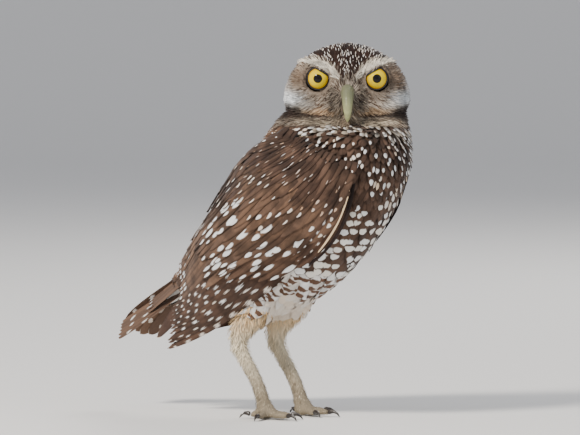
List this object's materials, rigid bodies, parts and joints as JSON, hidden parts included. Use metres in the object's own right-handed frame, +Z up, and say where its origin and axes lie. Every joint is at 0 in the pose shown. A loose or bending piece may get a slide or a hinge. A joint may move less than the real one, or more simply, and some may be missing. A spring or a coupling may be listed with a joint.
{
  "type": "burrowing owl",
  "caption": "Life-size small long-legged owl standing upright, round head turned to face the viewer, wings folded, tail held low.",
  "frame": {"origin": "middle of the bounding box, on the floor that the feet stand on", "axes": "+Z is up. The face looks along -Y. The body is turned 40 degrees from the face, so that its breast points to +X and a little to -Y, and its tail to -X and +Y. The picture was taken from -Y, about 3 degrees above level."},
  "size_m": [0.187, 0.1688, 0.2353],
  "materials": {
    "body_feathers": "matt brown feathers with pale spots and bars",
    "flight_feathers": "matt brown vanes with white spots",
    "leg_down": "short cream down",
    "foot_skin": "grey-brown scaly skin",
    "eye": "wet gloss, yellow iris and black pupil",
    "bill": "satin pale olive horn",
    "claw": "dark horn"
  },
  "bodies": {
    "root": {"head": "body_feathers", "eye_right": "eye", "eye_left": "eye", "bill_upper": "bill", "bill_lower": "bill", "neck": "body_feathers", "torso": "body_feathers", "wing_right": "flight_feathers", "wing_left": "flight_feathers", "tail": "flight_feathers", "thigh_right": "leg_down", "shank_right": "leg_down", "foot_right": "foot_skin", "claw_right_rear": "claw", "claw_right_inner": "claw", "claw_right_middle": "claw", "claw_right_outer": "claw", "thigh_left": "leg_down", "shank_left": "leg_down", "foot_left": "foot_skin", "claw_left_rear": "claw", "claw_left_inner": "claw", "claw_left_middle": "claw", "claw_left_outer": "claw"}
  },
  "joints": []
}
